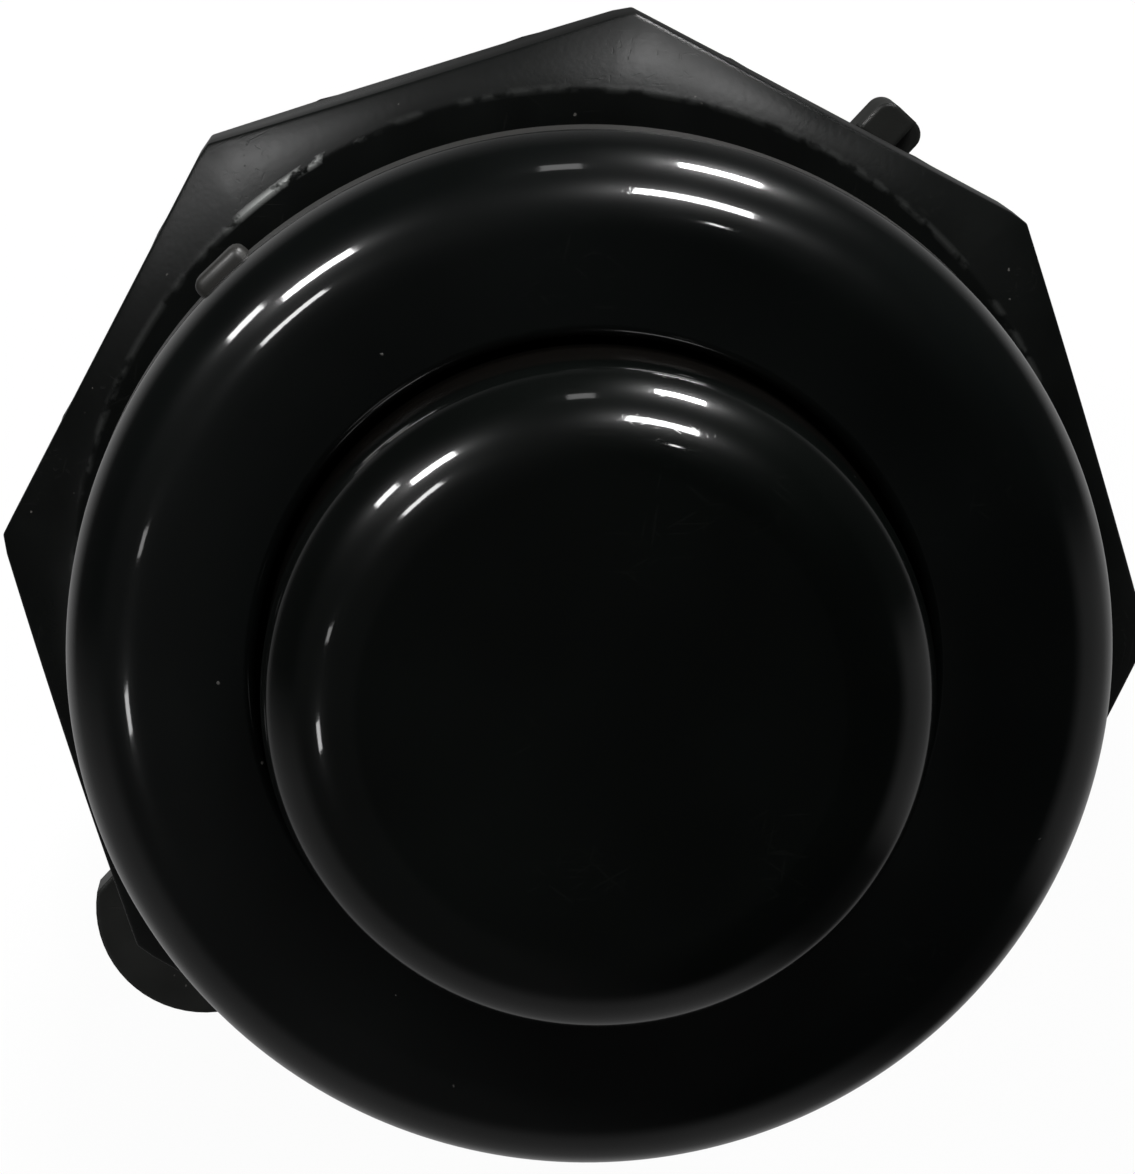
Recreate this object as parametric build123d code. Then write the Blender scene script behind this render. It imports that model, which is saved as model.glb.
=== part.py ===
from build123d import *
import math
import os

os.makedirs("parts", exist_ok=True)

# A round panel pushbutton for a control deck, 33 mm across its bezel, with the miniature
# snap-action switch that it carries on its rear end. Millimetres.
# Origin: on the plunger's axis, at the bezel flange's rear face, where the panel seats.
# +Z points at the finger, +X runs along the snap-action switch towards its contact end.

# Bezel and barrel, one moulding
BEZEL_R = 16.5
RIM_ROUND = 3.3
SIDE_WALL = 2.4
FACE_RISE = 0.2
REAR_EDGE = 0.3
HOLE_R = 10.45
HOLE_ROUND = 0.4
COLLAR_BOTTOM = 1.4
SHANK_R = 14.0
SHANK_LENGTH = 3.0
THREAD_R = 13.6
THREAD_END_CHAMFER = 0.7
BARREL_BORE_R = 11.6
BARREL_END = -23.0
WEB_TOP = -15.0
WEB_BOTTOM = -17.0
GUIDE_R = 4.5
GUIDE_TOP = -9.5
STEM_R = 3.0
STEM_CLEARANCE = 0.07
GATE_TURN = -90.8
GATE_LENGTH = 1.8
GATE_PROUD = 0.5
GATE_HEIGHT = 1.5

# Twist lock between the barrel and the switch holder
LOCK_LUG_HALF_TURN = 8.5
LOCK_SLOT_HALF_TURN = 9.5
LOCK_TURN = 24.0
LOCK_TOP = -19.2
LOCK_HEIGHT = 2.0
LOCK_PLAY = 0.1

# Plunger
PLUNGER_R = 10.2
PLUNGER_OUT = 3.6
PLUNGER_ROUND = 3.0
PLUNGER_ROOF = 1.9
PLUNGER_WALL = 1.7
SKIRT_BOTTOM = -3.5
RIB_COUNT = 6
RIB_THICKNESS = 1.2
RIB_DEPTH = 4.0
CLIP_GROOVE_DEPTH = 0.5
CLIP_THICKNESS = 0.6
CLIP_R = 4.8
CLIP_RIM = 0.9
CLIP_SLIT = 0.5
CLIP_PRONGS = 6

# Return spring
SPRING_R = 5.4
SPRING_WIRE = 0.8
SPRING_TURNS = 7

# Panel nut
NUT_FLATS = 36.1
NUT_FACE = -8.3
NUT_THICKNESS = 5.6
NUT_WASHER_R = 17.0
NUT_SLOPE = 28.0
NUT_REAR_R = 18.45
NUT_REAR_CHAMFER = 0.8
NUT_TURN = 37.8

# Snap-action switch, the common miniature size
CASE_LENGTH = 27.8
CASE_WIDTH = 10.3
CASE_HEIGHT = 15.9
CASE_BACK = -10.8
CASE_TOP = -25.0
CASE_WALL = 1.5
CASE_CORNER = 0.8
COVER_THICKNESS = 1.5
PIN_TRAVEL = 2.0
PIN_LEFT_OUT = 0.4
PIN_R = 1.5
PIN_CLEARANCE = 0.05
PIN_FLANGE_R = 2.3
PIN_FLANGE = 0.6
FOOT_HEIGHT = 1.3
FOOT_HALF_WIDTH = 2.1
FOOT_SLOT_HALF = 1.1
FOOT_TIP = 0.3
EYELET_SPAN_X = 22.2
EYELET_SPAN_Z = 10.3
EYELET_R = 1.9
EYELET_BORE_R = 1.55
EYELET_HEAD_R = 2.3
EYELET_HEAD = 0.25
EYELET_BACK = -8.2
EYELET_TOP_DROP = 2.8

# Moving arm and its contacts
ARM_THICKNESS = 0.3
ARM_GAP = 0.05
ARM_HEEL = -1.0
ARM_WINDOW_END = 7.2
ARM_END = 12.2
ARM_HALF_WIDTH = 2.1
ARM_HOOK_HOLE_R = 0.45
CONTACT_X = 11.0
CONTACT_R = 1.1
CONTACT_DROP = 0.7
MOVING_CONTACT_HALF = 0.55
FIXED_CONTACT_HEIGHT = 0.6
CONTACT_SHANK_R = 0.6
CONTACT_REST_GAP = 0.02
CONTACT_CLOSED_GAP = 0.2

# Tension spring of the arm
ARM_HOOK_X = 8.0
ANCHOR_HOOK_X = -4.5
ANCHOR_HOOK_Z = -29.6
TENSION_WIRE = 0.3
TENSION_HOOK_GAP = 0.12
TENSION_HOOK = 0.8
TENSION_HOOK_DROP = 0.6
TENSION_R = 0.75
TENSION_PITCH = 0.8
TENSION_COIL_START = 2.6
TENSION_COIL_END = 6.8

# Terminals: flat tabs for push-on connectors
TAB_WIDTH = 4.75
TAB_THICKNESS = 0.5
TAB_END = -47.4
TAB_HOLE_R = 0.8
TAB_HOLE_RISE = 2.4
TAB_POINT = 0.9
COM_X = -6.3
NC_X = 1.3
NO_X = 8.9
COM_SHELF = -32.5
NC_JOG = -37.0
NC_BLADE_Y = 2.9
NC_STRUT_HALF = 1.5
NC_STRUT_LOW = 4.0
NC_STRUT_HIGH = 2.0
SHELF_HALF_WIDTH = 1.7
SHELF_MARGIN = 0.2

# Anchor of the tension spring on the common terminal
ANCHOR_STRIP = 0.4
ANCHOR_POST = 0.5
ANCHOR_POST_HALF_WIDTH = 1.2
ANCHOR_HOLE_R = 0.4
ANCHOR_RIVET_R = 0.6
ANCHOR_RIVET_X = -7.5
ANCHOR_RIVET_Y = 1.0
ANCHOR_HEAD_R = 0.9
ANCHOR_HEAD = 0.35

# Switch holder
PLATE_R = 13.4
PLATE_HOLE_R = 3.5
TONGUE_HALF_TURN = 32.0
TONGUE_WALL = 1.5
TONGUE_PLAY = 0.1
TONGUE_PAST_LOCK = 0.8
LOCK_LUG_INSET = 0.2
TAB_ROOT = 10.4
GRIP_END = 23.5
GRIP_R = 4.0
GRIP_HALF_WIDTH = 3.3
GRIP_RIB = 1.2
GRIP_RIB_DEPTH = 2.0
GRIP_RIB_INSET = 1.5
LATCH_END = -19.35
LATCH_LOW = -2.35
LATCH_HIGH = -0.25
LATCH_CORNER = 0.6
LATCH_LIP = 1.1
LATCH_LIP_LENGTH = 1.5
LATCH_LIP_HIGH = -0.95
CHEEK_THICKNESS = 1.6
CHEEK_PLAY = 0.3
CHEEK_DROP = 15.0
CHEEK_START = -10.2
CHEEK_END = 16.2
CHEEK_CORNER = 4.0
CHEEK_NEAR_DROP = 7.0
CHEEK_TIP = 5.0
CHEEK_TIP_CHAMFER = 1.0
PEG_R = 1.5
PEG_LENGTH = 2.6

# How far a cutter reaches past its solid, and how deep a joined solid starts inside another
CUTTER_REACH = 1.0
BURIED = 0.5

# Heights and places that follow from the dimensions above
RIM_TOP = SIDE_WALL + RIM_ROUND
HOLE_TOP = RIM_TOP + FACE_RISE
PLUNGER_TOP = HOLE_TOP + PLUNGER_OUT + PLUNGER_ROUND
ROOF = PLUNGER_TOP - PLUNGER_ROOF
SPRING_TOP = ROOF - RIB_DEPTH
STEM_END = CASE_TOP + PIN_TRAVEL + PIN_LEFT_OUT
CASE_CENTRE_X = CASE_BACK + CASE_LENGTH / 2
CASE_BOTTOM = CASE_TOP - CASE_HEIGHT
SEAM_Y = CASE_WIDTH / 2 - COVER_THICKNESS
CAVITY_TOP = CASE_TOP - CASE_WALL
CAVITY_BOTTOM = CASE_BOTTOM + CASE_WALL
FOOT_END = CAVITY_TOP - PIN_FLANGE - FOOT_HEIGHT
ARM_TOP = FOOT_END - ARM_GAP
ARM_MIDDLE = ARM_TOP - ARM_THICKNESS / 2
EYELETS = [
    (EYELET_BACK, CASE_TOP - EYELET_TOP_DROP),
    (EYELET_BACK + EYELET_SPAN_X, CASE_TOP - EYELET_TOP_DROP - EYELET_SPAN_Z),
]
NC_FACE = ARM_MIDDLE + MOVING_CONTACT_HALF + CONTACT_REST_GAP
NO_FACE = ARM_MIDDLE - MOVING_CONTACT_HALF - CONTACT_DROP - CONTACT_CLOSED_GAP


def turned(outline):
    """A solid of revolution about the plunger's axis, from an outline of radius and height."""
    return revolve(make_face(Plane.XZ * outline), Axis.Z)


def disc(radius, bottom, top, x=0.0, y=0.0):
    return Pos(x, y, (bottom + top) / 2) * Cylinder(radius, top - bottom)


def block(x0, x1, y0, y1, z0, z1):
    centre = Pos((x0 + x1) / 2, (y0 + y1) / 2, (z0 + z1) / 2)
    return centre * Box(x1 - x0, y1 - y0, z1 - z0)


def ring_piece(inner, outer, bottom, top, middle_turn, half_turn):
    """Part of a ring about the plunger's axis, from middle_turn - half_turn to middle_turn + half_turn."""
    section = Plane.XZ * Pos((inner + outer) / 2, (bottom + top) / 2) * Rectangle(
        outer - inner, top - bottom
    )
    swept = revolve(section, Axis.Z, revolution_arc=2 * half_turn)
    return Rot(0, 0, middle_turn - half_turn) * swept


def rod_along_y(radius, y0, y1, x, z):
    return Pos(x, (y0 + y1) / 2, z) * Rot(90, 0, 0) * Cylinder(radius, y1 - y0)


def side_plate(points, y0, y1):
    """A flat plate in the XZ plane, from a closed list of (x, z) points, between y0 and y1."""
    face = make_face(Plane.XZ.offset(-y1) * Polyline(*points, close=True))
    return extrude(face, y1 - y0, dir=(0, -1, 0))


def bezel():
    """Flange with its broad rounded rim, threaded barrel, inner web and the guide tube for the stem."""
    outline = Polyline((HOLE_R, COLLAR_BOTTOM), (HOLE_R, HOLE_TOP - HOLE_ROUND))
    outline += RadiusArc(
        (HOLE_R, HOLE_TOP - HOLE_ROUND), (HOLE_R + HOLE_ROUND, HOLE_TOP), HOLE_ROUND
    )
    outline += Line((HOLE_R + HOLE_ROUND, HOLE_TOP), (BEZEL_R - RIM_ROUND, RIM_TOP))
    outline += RadiusArc(
        (BEZEL_R - RIM_ROUND, RIM_TOP), (BEZEL_R, SIDE_WALL), RIM_ROUND
    )
    lead_in = BARREL_BORE_R - HOLE_R
    outline += Polyline(
        (BEZEL_R, SIDE_WALL),
        (BEZEL_R, REAR_EDGE),
        (BEZEL_R - REAR_EDGE, 0),
        (SHANK_R, 0),
        (SHANK_R, -SHANK_LENGTH),
        (THREAD_R, -SHANK_LENGTH),
        (THREAD_R, BARREL_END + THREAD_END_CHAMFER),
        (THREAD_R - THREAD_END_CHAMFER, BARREL_END),
        (BARREL_BORE_R, BARREL_END),
        (BARREL_BORE_R, WEB_BOTTOM),
        (STEM_R + STEM_CLEARANCE, WEB_BOTTOM),
        (STEM_R + STEM_CLEARANCE, GUIDE_TOP),
        (GUIDE_R, GUIDE_TOP),
        (GUIDE_R, WEB_TOP),
        (BARREL_BORE_R, WEB_TOP),
        (BARREL_BORE_R, COLLAR_BOTTOM - lead_in),
        (HOLE_R, COLLAR_BOTTOM),
    )
    body = turned(outline)
    for side in (0, 180):
        run = ring_piece(
            BARREL_BORE_R - CUTTER_REACH,
            THREAD_R + CUTTER_REACH,
            LOCK_TOP - LOCK_HEIGHT,
            LOCK_TOP,
            side + LOCK_TURN / 2,
            LOCK_SLOT_HALF_TURN + LOCK_TURN / 2,
        )
        entry = ring_piece(
            BARREL_BORE_R - CUTTER_REACH,
            THREAD_R + CUTTER_REACH,
            BARREL_END - CUTTER_REACH,
            LOCK_TOP,
            side + LOCK_TURN,
            LOCK_SLOT_HALF_TURN,
        )
        body -= run + entry
    gate = Rot(0, 0, GATE_TURN) * block(
        BEZEL_R - BURIED,
        BEZEL_R + GATE_PROUD,
        -GATE_LENGTH / 2,
        GATE_LENGTH / 2,
        REAR_EDGE,
        REAR_EDGE + GATE_HEIGHT,
    )
    return body + gate


def plunger():
    """Hollow cap with a rounded edge, ribs under its roof and a stem that works the switch."""
    wall_inside = PLUNGER_R - PLUNGER_WALL
    inner_round = PLUNGER_ROUND - PLUNGER_ROOF
    groove_top = WEB_BOTTOM - STEM_CLEARANCE
    groove_bottom = groove_top - CLIP_THICKNESS
    outline = Line((0, PLUNGER_TOP), (PLUNGER_R - PLUNGER_ROUND, PLUNGER_TOP))
    outline += RadiusArc(
        (PLUNGER_R - PLUNGER_ROUND, PLUNGER_TOP),
        (PLUNGER_R, PLUNGER_TOP - PLUNGER_ROUND),
        PLUNGER_ROUND,
    )
    outline += Polyline(
        (PLUNGER_R, PLUNGER_TOP - PLUNGER_ROUND),
        (PLUNGER_R, SKIRT_BOTTOM),
        (wall_inside, SKIRT_BOTTOM),
        (wall_inside, ROOF - inner_round),
        (wall_inside - inner_round, ROOF),
        (STEM_R, ROOF),
        (STEM_R, groove_top),
        (STEM_R - CLIP_GROOVE_DEPTH, groove_top),
        (STEM_R - CLIP_GROOVE_DEPTH, groove_bottom),
        (STEM_R, groove_bottom),
        (STEM_R, STEM_END + CLIP_GROOVE_DEPTH),
        (STEM_R - CLIP_GROOVE_DEPTH, STEM_END),
        (0, STEM_END),
        (0, PLUNGER_TOP),
    )
    body = turned(outline)
    rib = block(
        STEM_R - BURIED,
        wall_inside + BURIED,
        -RIB_THICKNESS / 2,
        RIB_THICKNESS / 2,
        SPRING_TOP,
        ROOF + BURIED,
    )
    for i in range(RIB_COUNT):
        body += Rot(0, 0, 360 / RIB_COUNT * i) * rib
    return body


def return_spring():
    """Compression spring from the web to the ribs under the plunger's roof."""
    wire = SPRING_WIRE / 2
    rise = SPRING_TOP - WEB_TOP - 2 * wire
    path = Pos(0, 0, WEB_TOP + wire) * Helix(rise / SPRING_TURNS, rise, SPRING_R)
    section = Plane(path @ 0, z_dir=path % 0) * Circle(wire)
    return sweep(section, path=path, is_frenet=True)


def stem_clip():
    """Push-on steel ring in the stem's groove, which stops the plunger against the web."""
    top = WEB_BOTTOM - STEM_CLEARANCE
    bottom = top - CLIP_THICKNESS
    ring = disc(CLIP_R, bottom, top) - disc(STEM_R - CLIP_GROOVE_DEPTH, bottom, top)
    slit = block(0, CLIP_R - CLIP_RIM, -CLIP_SLIT / 2, CLIP_SLIT / 2, bottom, top)
    for i in range(CLIP_PRONGS):
        ring -= Rot(0, 0, 360 / CLIP_PRONGS * i) * slit
    return ring


def panel_nut():
    """Octagonal nut with a round washer face, below which its corners slope away."""
    rear = NUT_FACE - NUT_THICKNESS
    past_corners = NUT_FLATS / 2 / math.cos(math.radians(22.5)) + CUTTER_REACH
    drop = (past_corners - NUT_WASHER_R) * math.tan(math.radians(NUT_SLOPE))
    flats = Pos(0, 0, rear) * extrude(
        RegularPolygon(NUT_FLATS / 2, 8, major_radius=False, rotation=NUT_TURN),
        NUT_THICKNESS,
    )
    envelope = turned(
        Polyline(
            (THREAD_R, rear),
            (NUT_REAR_R, rear),
            (past_corners, rear + NUT_REAR_CHAMFER),
            (past_corners, NUT_FACE - drop),
            (NUT_WASHER_R, NUT_FACE),
            (THREAD_R, NUT_FACE),
            close=True,
        )
    )
    return flats & envelope


def grip_tab():
    """Rounded tab that two fingers turn the holder by, stiffened by a rib beside the switch."""
    centre = GRIP_END - GRIP_R
    strip = block(
        TAB_ROOT, GRIP_END, -GRIP_HALF_WIDTH, GRIP_HALF_WIDTH, CASE_TOP, BARREL_END
    )
    tab_plan = block(TAB_ROOT, centre, -GRIP_R, GRIP_R, CASE_TOP, BARREL_END)
    tab_plan += disc(GRIP_R, CASE_TOP, BARREL_END, centre)
    rib = block(
        CASE_BACK + CASE_LENGTH + CHEEK_PLAY,
        GRIP_END - GRIP_RIB_INSET,
        -GRIP_RIB / 2,
        GRIP_RIB / 2,
        CASE_TOP - GRIP_RIB_DEPTH,
        CASE_TOP,
    )
    return (strip & tab_plan) + rib


def latch():
    """Narrow springy latch with rounded corners and a finger lip along part of its end."""
    plan = Pos((LATCH_END - TAB_ROOT) / 2, (LATCH_LOW + LATCH_HIGH) / 2) * RectangleRounded(
        -TAB_ROOT - LATCH_END, LATCH_HIGH - LATCH_LOW, LATCH_CORNER
    )
    blade = Pos(0, 0, CASE_TOP) * extrude(plan, BARREL_END - CASE_TOP)
    lip = side_plate(
        [
            (LATCH_END, BARREL_END),
            (LATCH_END + LATCH_LIP_LENGTH, BARREL_END),
            (LATCH_END + LATCH_LIP_LENGTH, BARREL_END + LATCH_LIP),
            (LATCH_END, BARREL_END + LATCH_LIP),
        ],
        LATCH_LOW,
        LATCH_LIP_HIGH,
    )
    return blade + (lip & Pos(0, 0, BARREL_END) * extrude(plan, LATCH_LIP))


def switch_holder():
    """Plate that twist-locks in the barrel's end, with a grip tab, a latch and cheeks for the switch."""
    body = disc(PLATE_R, CASE_TOP, BARREL_END)
    body -= disc(PLATE_HOLE_R, CASE_TOP, BARREL_END)
    tongue_outer = BARREL_BORE_R - TONGUE_PLAY
    lug_outer = THREAD_R - LOCK_LUG_INSET
    for side in (0, 180):
        body += ring_piece(
            tongue_outer - TONGUE_WALL,
            tongue_outer,
            BARREL_END,
            LOCK_TOP - LOCK_PLAY + TONGUE_PAST_LOCK,
            side,
            TONGUE_HALF_TURN,
        )
        body += ring_piece(
            tongue_outer - TONGUE_WALL / 2,
            lug_outer,
            LOCK_TOP - LOCK_HEIGHT + LOCK_PLAY,
            LOCK_TOP - LOCK_PLAY,
            side,
            LOCK_LUG_HALF_TURN,
        )
    body += grip_tab() + latch()
    inner = CASE_WIDTH / 2 + CHEEK_PLAY
    outer = inner + CHEEK_THICKNESS
    cheek_outline = [
        (CHEEK_START, CASE_TOP + BURIED),
        (CHEEK_END - CHEEK_CORNER, CASE_TOP + BURIED),
        (CHEEK_END, CASE_TOP - CHEEK_CORNER),
        (CHEEK_END, CASE_TOP - CHEEK_DROP + CHEEK_TIP_CHAMFER),
        (CHEEK_END - CHEEK_TIP_CHAMFER, CASE_TOP - CHEEK_DROP),
        (CHEEK_END - CHEEK_TIP, CASE_TOP - CHEEK_DROP),
        (CHEEK_START + 2 * CHEEK_CORNER, CASE_TOP - CHEEK_NEAR_DROP),
        (CHEEK_START, CASE_TOP - CHEEK_NEAR_DROP),
    ]
    for low, high, peg_low, peg_high in (
        (inner, outer, inner - PEG_LENGTH, inner),
        (-outer, -inner, -inner, -inner + PEG_LENGTH),
    ):
        body += side_plate(cheek_outline, low, high)
        for x, z in EYELETS:
            body += rod_along_y(PEG_R, peg_low, peg_high, x, z)
    return body


def case_outline():
    """The snap-action switch's side outline, as a face in the XZ plane with rounded corners."""
    middle = (CASE_TOP + CASE_BOTTOM) / 2
    return Pos(CASE_CENTRE_X, middle) * RectangleRounded(
        CASE_LENGTH, CASE_HEIGHT, CASE_CORNER
    )


def slab(face, y0, y1):
    """A face drawn in x and z, made a solid between y0 and y1."""
    return extrude(Plane.XZ.offset(-y1) * face, y1 - y0)


def switch_case():
    """Open tray of the snap-action switch, with bosses round its two fixing holes."""
    low = -CASE_WIDTH / 2
    tray = slab(case_outline(), low, SEAM_Y)
    tray -= block(
        CASE_BACK + CASE_WALL,
        CASE_BACK + CASE_LENGTH - CASE_WALL,
        low + CASE_WALL,
        SEAM_Y,
        CAVITY_BOTTOM,
        CAVITY_TOP,
    )
    for x, z in EYELETS:
        tray += rod_along_y(EYELET_HEAD_R, low, SEAM_Y, x, z)
        tray -= rod_along_y(EYELET_R, low, SEAM_Y, x, z)
    tray -= disc(PIN_R + PIN_CLEARANCE, CAVITY_TOP, CASE_TOP)
    for x in (COM_X, NC_X, NO_X):
        tray -= block(
            x - TAB_WIDTH / 2,
            x + TAB_WIDTH / 2,
            -TAB_THICKNESS / 2,
            TAB_THICKNESS / 2,
            CASE_BOTTOM,
            CAVITY_BOTTOM,
        )
    return tray


def switch_cover():
    """Flat lid that closes the tray."""
    lid = slab(case_outline(), SEAM_Y, CASE_WIDTH / 2)
    for x, z in EYELETS:
        lid -= rod_along_y(EYELET_R, SEAM_Y, CASE_WIDTH / 2, x, z)
    return lid


def cover_eyelets():
    """Two brass eyelets that hold lid and tray together and line the fixing holes."""
    half = CASE_WIDTH / 2
    solids = []
    for x, z in EYELETS:
        tube = rod_along_y(EYELET_R, -half, half, x, z)
        tube += rod_along_y(EYELET_HEAD_R, half, half + EYELET_HEAD, x, z)
        tube += rod_along_y(EYELET_HEAD_R, -half - EYELET_HEAD, -half, x, z)
        tube -= rod_along_y(EYELET_BORE_R, -half - CUTTER_REACH, half + CUTTER_REACH, x, z)
        solids.append(tube)
    return Compound(children=solids)


def actuator_pin():
    """Pin that the stem presses, with a stop flange and a forked foot astride the tension spring."""
    flange_bottom = CAVITY_TOP - PIN_FLANGE
    pin = disc(PIN_R, flange_bottom, STEM_END)
    pin += disc(PIN_FLANGE_R, flange_bottom, CAVITY_TOP - PIN_CLEARANCE)
    foot = side_plate(
        [
            (-PIN_R, flange_bottom),
            (-FOOT_TIP, FOOT_END),
            (FOOT_TIP, FOOT_END),
            (PIN_R, flange_bottom),
        ],
        -FOOT_HALF_WIDTH,
        FOOT_HALF_WIDTH,
    )
    foot &= disc(PIN_FLANGE_R, FOOT_END, flange_bottom)
    foot -= block(
        -PIN_R, PIN_R, -FOOT_SLOT_HALF, FOOT_SLOT_HALF, FOOT_END, flange_bottom
    )
    return pin + foot


def contact_arm():
    """Springy copper arm: two rails that the pin's foot rides on, joined at the contact end."""
    bottom = ARM_TOP - ARM_THICKNESS
    arm = block(ARM_HEEL, ARM_END, -ARM_HALF_WIDTH, ARM_HALF_WIDTH, bottom, ARM_TOP)
    arm -= block(
        ARM_HEEL, ARM_WINDOW_END, -FOOT_SLOT_HALF, FOOT_SLOT_HALF, bottom, ARM_TOP
    )
    arm -= disc(ARM_HOOK_HOLE_R, bottom, ARM_TOP, ARM_HOOK_X)
    return arm - disc(CONTACT_SHANK_R, bottom, ARM_TOP, CONTACT_X)


def moving_contact():
    """Double-faced silver rivet at the arm's end."""
    top = ARM_MIDDLE + MOVING_CONTACT_HALF
    bottom = ARM_MIDDLE - MOVING_CONTACT_HALF
    rivet = disc(CONTACT_R, ARM_TOP, top, CONTACT_X)
    rivet += disc(CONTACT_R, bottom, ARM_TOP - ARM_THICKNESS, CONTACT_X)
    return rivet + disc(CONTACT_SHANK_R, bottom, top, CONTACT_X)


def fixed_contact(face, head_end, shank_end):
    """Silver rivet through a terminal's shelf: head from face to head_end, shank on to shank_end."""
    head = disc(CONTACT_R, min(face, head_end), max(face, head_end), CONTACT_X)
    shank = disc(
        CONTACT_SHANK_R, min(head_end, shank_end), max(head_end, shank_end), CONTACT_X
    )
    return head + shank


def tab(x, top):
    """The straight lower part of a terminal, with a bevelled tip and a wire hole."""
    half = TAB_WIDTH / 2
    blade = side_plate(
        [
            (x - half, top),
            (x - half, TAB_END + TAB_POINT),
            (x - half + TAB_POINT, TAB_END),
            (x + half - TAB_POINT, TAB_END),
            (x + half, TAB_END + TAB_POINT),
            (x + half, top),
        ],
        -TAB_THICKNESS / 2,
        TAB_THICKNESS / 2,
    )
    return blade - rod_along_y(TAB_HOLE_R, -TAB_THICKNESS, TAB_THICKNESS, x, TAB_END + TAB_HOLE_RISE)


def com_terminal():
    """Common terminal, folded over inside the case to carry the spring anchor."""
    blade = tab(COM_X, COM_SHELF)
    shelf = block(
        COM_X - TAB_WIDTH / 2,
        COM_X + TAB_WIDTH / 2,
        -SHELF_HALF_WIDTH,
        SHELF_HALF_WIDTH,
        COM_SHELF - TAB_THICKNESS,
        COM_SHELF,
    )
    hole = disc(
        ANCHOR_RIVET_R, COM_SHELF - 2 * TAB_THICKNESS, COM_SHELF, ANCHOR_RIVET_X, ANCHOR_RIVET_Y
    )
    return blade + shelf - hole


def spring_anchor():
    """Bent strip on the common terminal whose post the tension spring hooks into."""
    base = block(
        COM_X - TAB_WIDTH / 2,
        ANCHOR_HOOK_X,
        -SHELF_HALF_WIDTH,
        SHELF_HALF_WIDTH,
        COM_SHELF,
        COM_SHELF + ANCHOR_STRIP,
    )
    post = block(
        ANCHOR_HOOK_X - ANCHOR_POST,
        ANCHOR_HOOK_X,
        -ANCHOR_POST_HALF_WIDTH,
        ANCHOR_POST_HALF_WIDTH,
        COM_SHELF,
        ANCHOR_HOOK_Z + TENSION_R,
    )
    hole = Pos(ANCHOR_HOOK_X, 0, ANCHOR_HOOK_Z) * Rot(0, 90, 0) * Cylinder(
        ANCHOR_HOLE_R, 2 * CUTTER_REACH
    )
    rivet_hole = disc(
        ANCHOR_RIVET_R, COM_SHELF, COM_SHELF + ANCHOR_STRIP, ANCHOR_RIVET_X, ANCHOR_RIVET_Y
    )
    return base + post - hole - rivet_hole


def anchor_rivet():
    """Rivet that closes the anchor on the common terminal's shelf."""
    top = COM_SHELF + ANCHOR_STRIP
    bottom = COM_SHELF - TAB_THICKNESS
    place = Pos(ANCHOR_RIVET_X, ANCHOR_RIVET_Y, 0)
    rivet = disc(ANCHOR_RIVET_R, bottom, top)
    rivet += disc(ANCHOR_HEAD_R, top, top + ANCHOR_HEAD)
    rivet += disc(ANCHOR_HEAD_R, bottom - ANCHOR_HEAD, bottom)
    beside_blade = block(
        ANCHOR_RIVET_X - ANCHOR_HEAD_R,
        ANCHOR_RIVET_X + ANCHOR_HEAD_R,
        0,
        TAB_THICKNESS / 2,
        bottom - ANCHOR_HEAD,
        bottom,
    )
    return place * rivet - beside_blade


def no_terminal():
    """Normally open terminal: straight up to a shelf below the moving contact."""
    shelf_top = NO_FACE - FIXED_CONTACT_HEIGHT
    shelf_bottom = shelf_top - TAB_THICKNESS
    blade = tab(NO_X, shelf_bottom)
    shelf = block(
        NO_X - TAB_WIDTH / 2,
        CONTACT_X + CONTACT_R + SHELF_MARGIN,
        -SHELF_HALF_WIDTH,
        SHELF_HALF_WIDTH,
        shelf_bottom,
        shelf_top,
    )
    return blade + shelf - disc(CONTACT_SHANK_R, shelf_bottom, shelf_top, CONTACT_X)


def nc_terminal():
    """Normally closed terminal: jogs aside, climbs past the arm and folds over above the contact."""
    half = TAB_WIDTH / 2
    shelf_bottom = NC_FACE + FIXED_CONTACT_HEIGHT
    shelf_top = shelf_bottom + TAB_THICKNESS
    blade_end = NC_BLADE_Y + TAB_THICKNESS
    blade = tab(NC_X, NC_JOG)
    blade += block(
        NC_X - half,
        NC_X + half,
        -TAB_THICKNESS / 2,
        blade_end,
        NC_JOG - TAB_THICKNESS,
        NC_JOG,
    )
    blade += side_plate(
        [
            (NC_X - half, NC_JOG - TAB_THICKNESS),
            (NC_X + half, NC_JOG - TAB_THICKNESS),
            (CONTACT_X + NC_STRUT_HALF, ARM_TOP - NC_STRUT_LOW),
            (CONTACT_X + NC_STRUT_HALF, shelf_top),
            (CONTACT_X - NC_STRUT_HALF, shelf_top),
            (CONTACT_X - NC_STRUT_HALF, ARM_TOP - NC_STRUT_HIGH),
            (NC_X - half, NC_JOG + NC_STRUT_HALF),
        ],
        NC_BLADE_Y,
        blade_end,
    )
    blade += block(
        CONTACT_X - NC_STRUT_HALF,
        CONTACT_X + NC_STRUT_HALF,
        -SHELF_HALF_WIDTH,
        NC_BLADE_Y,
        shelf_bottom,
        shelf_top,
    )
    return blade - disc(CONTACT_SHANK_R, shelf_bottom, shelf_top, CONTACT_X)


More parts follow.
